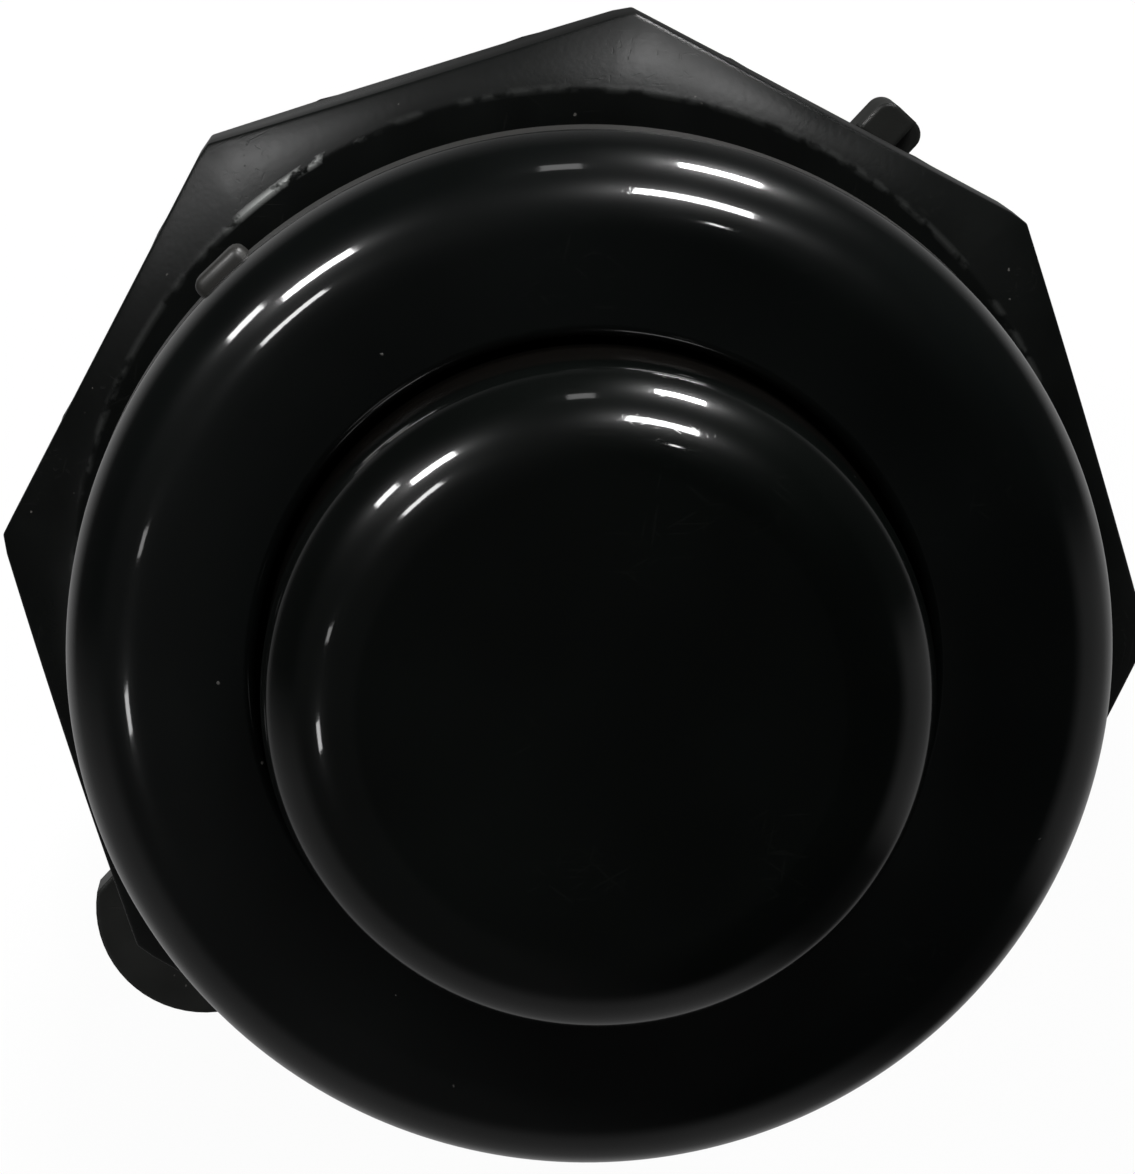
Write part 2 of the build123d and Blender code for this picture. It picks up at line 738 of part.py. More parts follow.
def tension_spring():
    """Tension spring between the anchor's post and the arm: the over-centre spring of the switch."""
    start = Vector(ANCHOR_HOOK_X, 0, ANCHOR_HOOK_Z)
    end = Vector(ARM_HOOK_X, 0, ARM_TOP + TENSION_WIRE / 2 + TENSION_HOOK_GAP)
    run = end - start
    line = Plane(origin=start, x_dir=(0, 1, 0), z_dir=run)
    coil_start = TENSION_COIL_START - ANCHOR_HOOK_X
    coil_length = TENSION_COIL_END - TENSION_COIL_START
    helix = line * Pos(0, 0, coil_start) * Helix(TENSION_PITCH, coil_length, TENSION_R)
    section = Plane(helix @ 0, z_dir=helix % 0) * Circle(TENSION_WIRE / 2)
    spring = sweep(section, path=helix, is_frenet=True)
    wire = TENSION_WIRE / 2
    upwards = (Align.CENTER, Align.CENTER, Align.MIN)
    coil_top = coil_start + coil_length
    lead = Cylinder(wire, coil_start + TENSION_HOOK, align=upwards)
    tail = Cylinder(wire, run.length - coil_top, align=upwards)
    bar = Rot(0, 90, 0) * Cylinder(wire, TENSION_R + wire, align=upwards)
    spring += line * Pos(0, 0, -TENSION_HOOK) * lead
    spring += line * Pos(0, 0, coil_start) * bar
    spring += line * Pos(0, 0, coil_top) * bar
    spring += line * Pos(0, 0, coil_top) * tail
    anchor_low = ANCHOR_HOOK_Z - TENSION_HOOK_DROP
    spring += disc(wire, anchor_low, ANCHOR_HOOK_Z + wire, ANCHOR_HOOK_X - TENSION_HOOK)
    return spring + disc(wire, ARM_TOP - TENSION_HOOK_DROP, ARM_TOP + 2 * wire, ARM_HOOK_X)


nc_shelf = NC_FACE + FIXED_CONTACT_HEIGHT
no_shelf = NO_FACE - FIXED_CONTACT_HEIGHT
export_step(bezel(), "parts/bezel.step")
export_step(plunger(), "parts/plunger.step")
export_step(return_spring(), "parts/return_spring.step")
export_step(stem_clip(), "parts/stem_clip.step")
export_step(panel_nut(), "parts/panel_nut.step")
export_step(switch_holder(), "parts/switch_holder.step")
export_step(switch_case(), "parts/switch_case.step")
export_step(switch_cover(), "parts/switch_cover.step")
export_step(cover_eyelets(), "parts/cover_eyelets.step")
export_step(actuator_pin(), "parts/actuator_pin.step")
export_step(contact_arm(), "parts/contact_arm.step")
export_step(moving_contact(), "parts/moving_contact.step")
export_step(tension_spring(), "parts/tension_spring.step")
export_step(com_terminal(), "parts/com_terminal.step")
export_step(spring_anchor(), "parts/spring_anchor.step")
export_step(anchor_rivet(), "parts/anchor_rivet.step")
export_step(no_terminal(), "parts/no_terminal.step")
export_step(nc_terminal(), "parts/nc_terminal.step")
export_step(
    fixed_contact(NC_FACE, nc_shelf, nc_shelf + TAB_THICKNESS), "parts/nc_contact.step"
)
export_step(
    fixed_contact(NO_FACE, no_shelf, no_shelf - TAB_THICKNESS), "parts/no_contact.step"
)
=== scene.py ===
import bpy
import math
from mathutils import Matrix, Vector


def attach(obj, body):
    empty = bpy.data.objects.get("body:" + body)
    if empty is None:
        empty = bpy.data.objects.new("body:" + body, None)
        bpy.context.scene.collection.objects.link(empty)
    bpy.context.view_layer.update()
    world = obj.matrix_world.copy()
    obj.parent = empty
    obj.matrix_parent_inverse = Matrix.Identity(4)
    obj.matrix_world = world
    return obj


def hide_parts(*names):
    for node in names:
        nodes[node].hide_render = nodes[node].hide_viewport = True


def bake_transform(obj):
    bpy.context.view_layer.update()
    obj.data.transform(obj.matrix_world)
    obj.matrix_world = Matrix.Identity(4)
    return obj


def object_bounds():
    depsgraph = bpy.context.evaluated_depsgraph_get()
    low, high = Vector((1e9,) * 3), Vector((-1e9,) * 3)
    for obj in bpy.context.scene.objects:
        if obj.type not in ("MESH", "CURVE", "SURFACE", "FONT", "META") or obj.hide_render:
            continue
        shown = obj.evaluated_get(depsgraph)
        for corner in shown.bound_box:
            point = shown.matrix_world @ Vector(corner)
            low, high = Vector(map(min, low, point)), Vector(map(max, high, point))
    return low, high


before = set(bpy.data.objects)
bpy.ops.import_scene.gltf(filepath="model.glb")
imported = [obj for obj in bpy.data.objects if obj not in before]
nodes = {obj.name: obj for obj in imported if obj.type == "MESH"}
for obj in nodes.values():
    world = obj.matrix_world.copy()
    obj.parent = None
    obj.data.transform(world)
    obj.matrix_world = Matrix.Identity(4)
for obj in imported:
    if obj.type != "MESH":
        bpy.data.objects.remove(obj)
cad_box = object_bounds()

# Camera
# A close view from 160 mm, tilted ten degrees off the plunger's axis, so that the side walls at the
# top of the picture show and the plunger, the hole and the nut lie off each other's centres.
CAMERA_TILT = math.radians(9.97)
CAMERA_SIDE = math.radians(-126.71)
CAMERA_UP = math.radians(-136.79)
CAMERA_DISTANCE = 0.15801
CAMERA_TARGET = Vector((-0.001052, -0.001980, 0.0024))
SENSOR_WIDTH = 36.0
PICTURE_WIDTH = 1135
FOCAL_PIXELS = 5021.0

towards_camera = Vector((
    math.sin(CAMERA_TILT) * math.cos(CAMERA_SIDE),
    math.sin(CAMERA_TILT) * math.sin(CAMERA_SIDE),
    math.cos(CAMERA_TILT),
))
picture_up = Vector((math.cos(CAMERA_UP), math.sin(CAMERA_UP), 0))
picture_right = picture_up.cross(towards_camera).normalized()
picture_up = towards_camera.cross(picture_right)
camera_data = bpy.data.cameras.new("camera")
camera_data.sensor_fit = "HORIZONTAL"
camera_data.sensor_width = SENSOR_WIDTH
camera_data.lens = FOCAL_PIXELS * SENSOR_WIDTH / PICTURE_WIDTH
camera_data.clip_start = 0.001
camera = bpy.data.objects.new("camera", camera_data)
bpy.context.collection.objects.link(camera)
turn = camera.matrix_world.copy()
for row in range(3):
    turn[row][0] = picture_right[row]
    turn[row][1] = picture_up[row]
    turn[row][2] = towards_camera[row]
    turn[row][3] = CAMERA_TARGET[row] + towards_camera[row] * CAMERA_DISTANCE
camera.matrix_world = turn
bpy.context.scene.camera = camera
bpy.context.scene.view_settings.view_transform = "Standard"

# Lamps
# Small lamps on three sides, most of them high up, which the glossy rims show as short streaks.
# Each has its tilt from the axis, its bearing, its distance, its width, its height and its power.
LAMPS = {
    "lamp_left": (61.5, -97.5, 0.7, 0.13, 0.085, 1.7),
    "lamp_left_low": (72, -86, 0.7, 0.075, 0.08, 0.5),
    "lamp_left_high": (40, -89, 0.7, 0.1, 0.05, 0.35),
    "lamp_right": (58, -153.5, 0.7, 0.18, 0.08, 2.7),
    "lamp_right_low": (98, -155.5, 0.2, 0.037, 0.023, 0.35),
    "lamp_right_high": (36, -160, 0.7, 0.02, 0.02, 0.04),
    "lamp_far": (87, -134.5, 0.7, 0.07, 0.09, 0.05),
    "lamp_side": (50, -28, 0.8, 0.065, 0.06, 0.14),
    "lamp_side_high": (47, -50, 0.8, 0.04, 0.05, 0.03),
}
for name, (tilt, bearing, distance, wide, high, power) in LAMPS.items():
    lamp = bpy.data.lights.new(name, "AREA")
    lamp.shape = "RECTANGLE"
    lamp.size = wide
    lamp.size_y = high
    lamp.energy = power
    lamp_object = bpy.data.objects.new(name, lamp)
    lamp_object.visible_camera = False
    bpy.context.collection.objects.link(lamp_object)
    tilt = math.radians(tilt)
    bearing = math.radians(bearing)
    away = Vector((
        math.sin(tilt) * math.cos(bearing),
        math.sin(tilt) * math.sin(bearing),
        math.cos(tilt),
    ))
    lamp_object.location = away * distance
    lamp_object.rotation_euler = away.to_track_quat("Z", "Y").to_euler()

# Room
# Soft even light for the matt surfaces. The gloss shows a dim room instead, which is pale low down
# on two sides and a little paler overhead on one.
ROOM_SOFT_LIGHT = 0.6
ROOM_ZENITH = (0.012, 0.06)
ZENITH_PALE_SIDE = (0.8, -0.6, 0.0)
ZENITH_BORDER = (-0.12, 0.2)
HORIZON_TOP = 0.36
ROOM_DIM = 0.022
ROOM_PALE = 0.18
PALE_SIDES = {(0.95, 0.313, 0.0): (0.45, 0.8), (-0.473, 0.881, 0.0): (0.91, 0.985)}


def add(tree, kind, inputs, **settings):
    """Adds a node with its settings. Each input gets a value, or the socket that feeds it."""
    node = tree.nodes.new("ShaderNode" + kind)
    for name, value in settings.items():
        setattr(node, name, value)
    for name, value in inputs.items():
        if isinstance(value, bpy.types.NodeSocket):
            tree.links.new(value, node.inputs[name])
        else:
            node.inputs[name].default_value = value
    return node.outputs[0]


def along(tree, direction, side):
    """How far a direction leans to a side."""
    lean = tree.nodes.new("ShaderNodeVectorMath")
    lean.operation = "DOT_PRODUCT"
    lean.inputs[1].default_value = side
    tree.links.new(direction, lean.inputs[0])
    return lean.outputs["Value"]


def levelled(tree, direction):
    """The same direction without its rise."""
    level = add(tree, "VectorMath", {0: direction, 1: (1, 1, 0)}, operation="MULTIPLY")
    return add(tree, "VectorMath", {0: level}, operation="NORMALIZE")


def horizon_glow(tree, level):
    """How bright the room is low down, in a level direction: dim, but pale on two sides."""
    glow = ROOM_DIM
    for side, (faint, full) in PALE_SIDES.items():
        pale = add(
            tree,
            "MapRange",
            {
                "Value": along(tree, level, side), "From Min": faint, "From Max": full,
                "To Min": ROOM_DIM, "To Max": ROOM_PALE,
            },
            interpolation_type="SMOOTHSTEP",
        )
        glow = add(tree, "Math", {0: pale, 1: glow}, operation="MAXIMUM")
    return glow


world = bpy.data.worlds.new("room")
world.use_nodes = True
room = world.node_tree
direction = room.nodes.new("ShaderNodeTexCoord").outputs["Generated"]
split = room.nodes.new("ShaderNodeSeparateXYZ")
room.links.new(direction, split.inputs[0])
path = room.nodes.new("ShaderNodeLightPath")
zenith = add(room, "MapRange", {
    "Value": along(room, direction, ZENITH_PALE_SIDE),
    "From Min": ZENITH_BORDER[0],
    "From Max": ZENITH_BORDER[1],
    "To Min": ROOM_ZENITH[0],
    "To Max": ROOM_ZENITH[1],
})
strength = add(
    room,
    "MapRange",
    {
        "Value": split.outputs["Z"],
        "From Min": 0.0,
        "From Max": HORIZON_TOP,
        "To Min": horizon_glow(room, levelled(room, direction)),
        "To Max": zenith,
    },
    interpolation_type="SMOOTHSTEP",
)
strength = add(
    room, "Mix", {"Factor": path.outputs["Is Diffuse Ray"], "A": strength, "B": ROOM_SOFT_LIGHT}
)
strength = add(room, "Mix", {"Factor": path.outputs["Is Camera Ray"], "A": strength, "B": 1.0})
room.nodes["Background"].inputs["Color"].default_value = (1, 1, 1, 1)
room.links.new(strength, room.nodes["Background"].inputs["Strength"])
bpy.context.scene.world = world

# Floor
# A matt white table just below the terminals' tips. It is as pale to the camera as paper. To the
# gloss it glows at set levels instead of showing its own lit surface, a painted reflection: dim
# like the room beside it far off, paler near the object, and lower on one side near the object as
# painted shade.
FLOOR_SIZE = 3.0
FLOOR_GAP = 0.0001
FLOOR_COLOUR = (0.92, 0.92, 0.92, 1)
FLOOR_GLOW = 0.9
FLOOR_NEAR_GLOW = (0.3, 0.08)
FLOOR_PAINTED_SHADE_SIDE = (-0.837, -0.548, 0.0)
FLOOR_PAINTED_SHADE_BORDER = (0.57, 0.94)
FLOOR_NEAR = 0.042
FLOOR_FAR = 0.1
bpy.ops.object.select_all(action="DESELECT")
bpy.ops.mesh.primitive_plane_add(size=FLOOR_SIZE, location=(0, 0, cad_box[0][2] - FLOOR_GAP))
floor = bpy.context.object
floor.name = "floor"
paper = bpy.data.materials.new("paper")
paper.use_nodes = True
tree = paper.node_tree
shader = tree.nodes["Principled BSDF"]
shader.inputs["Base Color"].default_value = FLOOR_COLOUR
shader.inputs["Roughness"].default_value = 0.9
shader.inputs["Specular IOR Level"].default_value = 0.1
path = tree.nodes.new("ShaderNodeLightPath")
place = tree.nodes.new("ShaderNodeTexCoord").outputs["Object"]
away = tree.nodes.new("ShaderNodeVectorMath")
away.operation = "LENGTH"
tree.links.new(place, away.inputs[0])
heading = levelled(tree, place)
# Painted shade: near the object, the glow that the gloss sees is lower on one side.
near_glow = add(tree, "MapRange", {
    "Value": along(tree, heading, FLOOR_PAINTED_SHADE_SIDE),
    "From Min": FLOOR_PAINTED_SHADE_BORDER[0],
    "From Max": FLOOR_PAINTED_SHADE_BORDER[1],
    "To Min": FLOOR_NEAR_GLOW[0],
    "To Max": FLOOR_NEAR_GLOW[1],
})
glow = add(
    tree,
    "MapRange",
    {
        "Value": away.outputs["Value"], "From Min": FLOOR_NEAR, "From Max": FLOOR_FAR,
        "To Min": near_glow, "To Max": horizon_glow(tree, heading),
    },
    interpolation_type="SMOOTHSTEP",
)
glow = add(tree, "Mix", {"Factor": path.outputs["Is Camera Ray"], "A": glow, "B": 1.0})
glow = add(tree, "Emission", {"Strength": glow})
share = add(
    tree,
    "Math",
    {0: path.outputs["Is Camera Ray"], 1: FLOOR_GLOW, 2: path.outputs["Is Glossy Ray"]},
    operation="MULTIPLY_ADD",
)
surface = add(tree, "MixShader", {0: share, 1: shader.outputs[0], 2: glow})
tree.links.new(surface, tree.nodes["Material Output"].inputs["Surface"])
floor.data.materials.append(paper)

# Bezel
# One glossy black ABS moulding: the flange with its broad rounded rim, the hollow barrel behind
# it with the web and the tube that guide the stem, the two slots of the holder's twist lock, and
# the little stub where the gate was cut off.
BEZEL_R = 0.0165
RIM_ROUND = 0.0033
SIDE_WALL = 0.0024
FACE_RISE = 0.0002
HOLE_R = 0.01045
HOLE_ROUND = 0.0004
COLLAR_BOTTOM = 0.0014
SHANK_R = 0.014
SHANK_END = -0.003
THREAD_ROOT_R = 0.0133
BARREL_END = -0.023
BORE_R = 0.0116
WEB_TOP = -0.015
WEB_BOTTOM = -0.017
STEM_BORE_R = 0.00307
GUIDE_R = 0.0045
GUIDE_TOP = -0.0095
EDGE_BREAK = 0.0001
RIM_FOOT_BREAK = 0.0003
THREAD_LEAD = 0.0004
ROUND_STEPS = 256
MERGE_GAP = 0.000002
SHARP_ANGLE = 35
GATE_TURN = math.radians(-93.0)
GATE_HALF_WIDTH = 0.001
GATE_HALF_DEPTH = 0.0005
GATE_BOTTOM = 0.0003
GATE_TOP = 0.0018
GATE_ROUND = 0.00035
GATE_ROUND_STEPS = 4
SLOT_TOP = -0.0192
SLOT_HEIGHT = 0.002
SLOT_HALF = 9.5
LOCK_TURN = 24.0
SLOT_STEPS = 24
SLOT_OVERCUT = 0.001
SLOT_ENTRY_OVERLAP = 0.0002
BEZEL_COLOUR = (0.0011, 0.0015, 0.0014)
BEZEL_RIPPLE = 170.0
GLOSS_ROUGHNESS = (0.04, 0.07)
GLOSS_POLISH_SCALE = 420.0
GLOSS_HAZE = (0.12, 0.26)
GLOSS_HAZE_SCALE = 140.0
GLOSS_BUMP = 0.00001
POLISH_BORDER = 0.0005
WALL_FINISH = 0.4
WALL_COLOUR = (0.014, 0.0135, 0.012)
GRAIN_FINENESS = 24.0
SCRATCH_STRETCH = (0.09, 1.0, 1.0)
SCRATCH_TURNS = (0.3, 0.8, 1.5, 2.6)
SCRATCH_BORDER = (0.75, 0.8)
SCRATCH_PATCH_SCALE = 230.0
SCRATCH_PATCH_BORDER = (0.5, 0.64)
DUST_COLOUR = (0.13, 0.125, 0.115)
DUST_WANDER = (0.00012, 0.00012, 0.00012)
DUST_WANDER_SCALE = 9000.0
DUST_SIZE = 0.35
DUST_SOFT_RIM = 0.03


def arc(centre_r, centre_z, radius, start, stop, count):
    """Points of an arc in radius and height, from start to stop degrees."""
    points = []
    for i in range(count + 1):
        angle = math.radians(start + (stop - start) * i / count)
        points.append((centre_r + radius * math.cos(angle), centre_z + radius * math.sin(angle)))
    return points


def turned(name, outline, steps):
    """Draws a line through the outline in edit mode and spins it once round the plunger's axis."""
    bpy.ops.object.select_all(action="DESELECT")
    bpy.ops.mesh.primitive_plane_add(size=0.001, location=(0, 0, 0))
    piece = bpy.context.object
    piece.name = name
    bpy.ops.object.mode_set(mode="EDIT")
    bpy.ops.mesh.select_all(action="SELECT")
    bpy.ops.mesh.merge(type="CENTER")
    bpy.ops.transform.translate(value=(outline[0][0], 0, outline[0][1]))
    for here, there in zip(outline, outline[1:]):
        step = (there[0] - here[0], 0, there[1] - here[1])
        bpy.ops.mesh.extrude_region_move(TRANSFORM_OT_translate={"value": step})
    bpy.ops.mesh.select_all(action="SELECT")
    bpy.ops.mesh.spin(steps=steps, angle=2 * math.pi, center=(0, 0, 0), axis=(0, 0, 1))
    bpy.ops.mesh.select_all(action="SELECT")
    bpy.ops.mesh.remove_doubles(threshold=MERGE_GAP)
    bpy.ops.mesh.normals_make_consistent(inside=False)
    bpy.ops.object.mode_set(mode="OBJECT")
    return piece


def block(name, x0, x1, y0, y1, z0, z1, turn=0.0):
    """Adds a cube between two corners, turned about the plunger's axis, with its place applied."""
    bpy.ops.object.select_all(action="DESELECT")
    bpy.ops.mesh.primitive_cube_add(size=1)
    piece = bpy.context.object
    piece.name = name
    bpy.ops.transform.resize(value=(x1 - x0, y1 - y0, z1 - z0))
    bpy.ops.transform.translate(value=((x0 + x1) / 2, (y0 + y1) / 2, (z0 + z1) / 2))
    bpy.ops.object.transform_apply(location=True, rotation=True, scale=True)
    piece.rotation_euler = (0, 0, turn)
    bpy.ops.object.transform_apply(location=True, rotation=True, scale=True)
    return piece


def ring_block(name, inner, outer, low, high, start, stop):
    """A block bent round the axis: a flat face between two radii, spun between two bearings."""
    bpy.ops.object.select_all(action="DESELECT")
    bpy.ops.mesh.primitive_plane_add(size=1, rotation=(math.pi / 2, 0, 0))
    piece = bpy.context.object
    piece.name = name
    bpy.ops.object.transform_apply(location=True, rotation=True, scale=True)
    bpy.ops.transform.resize(value=(outer - inner, 1, high - low))
    bpy.ops.transform.translate(value=((inner + outer) / 2, 0, (low + high) / 2))
    bpy.ops.object.transform_apply(location=True, rotation=True, scale=True)
    piece.rotation_euler = (0, 0, math.radians(start))
    bpy.ops.object.transform_apply(location=True, rotation=True, scale=True)
    bpy.ops.object.mode_set(mode="EDIT")
    bpy.ops.mesh.select_all(action="SELECT")
    bpy.ops.mesh.spin(
        steps=SLOT_STEPS, angle=math.radians(stop - start), center=(0, 0, 0), axis=(0, 0, 1)
    )
    bpy.ops.mesh.select_all(action="SELECT")
    bpy.ops.mesh.remove_doubles(threshold=MERGE_GAP)
    bpy.ops.mesh.normals_make_consistent(inside=False)
    bpy.ops.object.mode_set(mode="OBJECT")
    return piece


def combined(piece, tools, operation, keep_tools=False):
    """Cuts the tools from a piece, or joins them to it, with a boolean that is applied."""
    for tool in tools:
        modifier = piece.modifiers.new("combined", "BOOLEAN")
        modifier.operation = operation
        modifier.object = tool
        modifier.solver = "EXACT"
        bpy.context.view_layer.objects.active = piece
        bpy.ops.object.modifier_apply(modifier=modifier.name)
        if not keep_tools:
            bpy.data.objects.remove(tool)


def smoothed(piece, degrees):
    """Smooth shading, with an edge left sharp wherever it turns by more than the angle."""
    bpy.ops.object.select_all(action="DESELECT")
    piece.select_set(True)
    bpy.context.view_layer.objects.active = piece
    bpy.ops.object.shade_smooth_by_angle(angle=math.radians(degrees))


def finished(piece, body, material, slot, *stands_for):
    """Gives a finished piece its material and its body, and hides the nodes that it stands for. The
    slot is not used.
    """
    piece.data.materials.clear()
    piece.data.materials.append(material)
    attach(piece, body)
    if stands_for:
        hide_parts(*stands_for)


rim_top = SIDE_WALL + RIM_ROUND
hole_top = rim_top + FACE_RISE
bezel_outline = [(HOLE_R, COLLAR_BOTTOM)]
bezel_outline += arc(
    HOLE_R + HOLE_ROUND, hole_top - HOLE_ROUND, HOLE_ROUND, start=180, stop=92, count=8
)
bezel_outline += arc(BEZEL_R - RIM_ROUND, SIDE_WALL, RIM_ROUND, start=88, stop=0, count=40)
bezel_outline += [
    (BEZEL_R, RIM_FOOT_BREAK),
    (BEZEL_R - EDGE_BREAK, EDGE_BREAK),
    (BEZEL_R - RIM_FOOT_BREAK, 0),
    (SHANK_R + EDGE_BREAK, 0),
    (SHANK_R, -EDGE_BREAK),
    (SHANK_R, SHANK_END + EDGE_BREAK),
    (SHANK_R - EDGE_BREAK, SHANK_END),
    (THREAD_ROOT_R, SHANK_END - THREAD_LEAD),
    (THREAD_ROOT_R, BARREL_END + THREAD_LEAD),
    (THREAD_ROOT_R - THREAD_LEAD, BARREL_END),
    (BORE_R + EDGE_BREAK, BARREL_END),
    (BORE_R, BARREL_END + EDGE_BREAK),
    (BORE_R, WEB_BOTTOM),
    (STEM_BORE_R, WEB_BOTTOM),
    (STEM_BORE_R, GUIDE_TOP - EDGE_BREAK),
    (STEM_BORE_R + EDGE_BREAK, GUIDE_TOP),
    (GUIDE_R - EDGE_BREAK, GUIDE_TOP),
    (GUIDE_R, GUIDE_TOP - EDGE_BREAK),
    (GUIDE_R, WEB_TOP),
    (BORE_R, WEB_TOP),
    (BORE_R, COLLAR_BOTTOM - BORE_R + HOLE_R),
    (HOLE_R, COLLAR_BOTTOM),
]
bezel = turned("bezel_moulding", bezel_outline, ROUND_STEPS)
gate = block(
    "gate",
    BEZEL_R - GATE_HALF_DEPTH, BEZEL_R + GATE_HALF_DEPTH,
    -GATE_HALF_WIDTH, GATE_HALF_WIDTH,
    GATE_BOTTOM, GATE_TOP,
    GATE_TURN,
)
gate_edges = gate.modifiers.new("gate_edges", "BEVEL")
gate_edges.width = GATE_ROUND
gate_edges.segments = GATE_ROUND_STEPS
bpy.ops.object.modifier_apply(modifier=gate_edges.name)
combined(bezel, [gate], "UNION")
slots = []
for side in (0, 180):
    slots.append(ring_block(
        "slot_run",
        BORE_R - SLOT_OVERCUT, SHANK_R + SLOT_OVERCUT,
        SLOT_TOP - SLOT_HEIGHT, SLOT_TOP,
        side - SLOT_HALF, side + LOCK_TURN + SLOT_HALF,
    ))
    slots.append(ring_block(
        "slot_entry",
        BORE_R - SLOT_OVERCUT, SHANK_R + SLOT_OVERCUT,
        BARREL_END - SLOT_OVERCUT, SLOT_TOP - SLOT_ENTRY_OVERLAP,
        side + LOCK_TURN - SLOT_HALF, side + LOCK_TURN + SLOT_HALF,
    ))
combined(bezel, slots, "DIFFERENCE", keep_tools=True)
smoothed(bezel, SHARP_ANGLE)


def effect(name, result, **inputs):
    """Starts a node group: a place and named numbers go in, and one number comes out."""
    group = bpy.data.node_groups.new(name, "ShaderNodeTree")
    group.interface.new_socket("Place", in_out="INPUT", socket_type="NodeSocketVector")
    for label, value in inputs.items():
        socket = group.interface.new_socket(
            label, in_out="INPUT", socket_type="NodeSocketFloat"
        )
        socket.default_value = value
    group.interface.new_socket(result, in_out="OUTPUT", socket_type="NodeSocketFloat")
    entry = group.nodes.new("NodeGroupInput")
    return group, entry.outputs, group.nodes.new("NodeGroupOutput").inputs[0]


def ranged(tree, value, low, high, to_low=0.0, to_high=1.0):
    """Maps a value from low and high to two others, and holds it between them."""
    return add(tree, "MapRange", {
        "Value": value, "From Min": low, "From Max": high, "To Min": to_low, "To Max": to_high,
    })


def times(tree, first, second):
    """Multiplies two values."""
    return add(tree, "Math", {0: first, 1: second}, operation="MULTIPLY")


def raised(tree, value, mask, amount):
    """Raises a value by up to the amount where the mask is. A negative amount lowers it."""
    return add(tree, "Math", {0: mask, 1: amount, 2: value}, operation="MULTIPLY_ADD")


def noise(tree, place, scale, detail=2.0):
    """A cloudy value between 0 and 1, at so many clouds a metre."""
    return add(tree, "TexNoise", {"Vector": place, "Scale": scale, "Detail": detail})


def moulding_ripple():
    """The slow waves of a moulded surface, with a finer grain on top of them."""
    group, given, result = effect("moulding_ripple", "Height", Scale=150.0, Grain=0.2)
    waves = noise(group, given["Place"], given["Scale"], detail=1.0)
    fine = noise(group, given["Place"], times(group, given["Scale"], GRAIN_FINENESS))
    group.links.new(raised(group, waves, fine, amount=given["Grain"]), result)
    return group


def hair_scratches():
    """Short straight hair scratches in a few directions, in patches."""
    group, given, result = effect("hair_scratches", "Mask", Scale=9000.0, Amount=1.0)
    lines = 0.0
    for turn in SCRATCH_TURNS:
        place = add(
            group, "VectorRotate", {"Vector": given["Place"], "Angle": turn},
            rotation_type="Z_AXIS",
        )
        place = add(
            group, "VectorMath", {0: place, 1: SCRATCH_STRETCH}, operation="MULTIPLY"
        )
        line = ranged(
            group, noise(group, place, given["Scale"], detail=0.0), *SCRATCH_BORDER
        )
        lines = add(group, "Math", {0: line, 1: lines}, operation="MAXIMUM")
    patches = noise(group, given["Place"], SCRATCH_PATCH_SCALE)
    patches = ranged(group, patches, *SCRATCH_PATCH_BORDER)
    group.links.new(times(group, times(group, lines, patches), given["Amount"]), result)
    return group


def dust_specks():
    """Loose specks of dust, of many sizes, each in a cell of its own."""
    group, given, result = effect("dust_specks", "Mask", Scale=900.0, Amount=0.3)
    wander = group.nodes.new("ShaderNodeTexNoise")
    wander.inputs["Scale"].default_value = DUST_WANDER_SCALE
    group.links.new(given["Place"], wander.inputs["Vector"])
    ragged = add(
        group,
        "VectorMath",
        {0: wander.outputs["Color"], 1: DUST_WANDER, 2: given["Place"]},
        operation="MULTIPLY_ADD",
    )
    cells = group.nodes.new("ShaderNodeTexVoronoi")
    group.links.new(ragged, cells.inputs["Vector"])
    group.links.new(given["Scale"], cells.inputs["Scale"])
    chance = group.nodes.new("ShaderNodeSeparateColor")
    group.links.new(cells.outputs["Color"], chance.inputs[0])
    size = add(
        group, "Math", {0: chance.outputs[0], 1: given["Amount"]}, operation="ADD"
    )
    size = add(group, "Math", {0: size, 1: 1.0}, operation="SUBTRACT")
    size = times(group, size, DUST_SIZE)
    speck = add(
        group, "Math", {0: size, 1: cells.outputs["Distance"]}, operation="SUBTRACT"
    )
    group.links.new(ranged(group, speck, 0.0, DUST_SOFT_RIM), result)
    return group


RIPPLE = moulding_ripple()
SCRATCHES = hair_scratches()
DUST = dust_specks()


def with_effect(tree, group, place, **values):
    """Places an effect in a material, with the material's own numbers."""
    node = tree.nodes.new("ShaderNodeGroup")
    node.node_tree = group
    tree.links.new(place, node.inputs["Place"])
    for label, value in values.items():
        node.inputs[label].default_value = value
    return node.outputs[0]


def coloured(tree, mask, first, second):
    """Mixes two colours by a mask. Either may be a plain colour or a socket."""
    node = tree.nodes.new("ShaderNodeMix")
    node.data_type = "RGBA"
    tree.links.new(mask, node.inputs["Factor"])
    for socket, value in ((node.inputs[6], first), (node.inputs[7], second)):
        if isinstance(value, bpy.types.NodeSocket):
            tree.links.new(value, socket)
        else:
            socket.default_value = (*value[:3], 1)
    return node.outputs[2]


def new_material(name, **plain):
    """A material with its place, its shader, and the shader's values that are even all over."""
    material = bpy.data.materials.new(name)
    material.use_nodes = True
    tree = material.node_tree
    shader = tree.nodes["Principled BSDF"]
    for label, value in plain.items():
        shader.inputs[label.replace("_", " ")].default_value = value
    place = tree.nodes.new("ShaderNodeTexCoord").outputs["Object"]
    return material, tree, shader.inputs, place


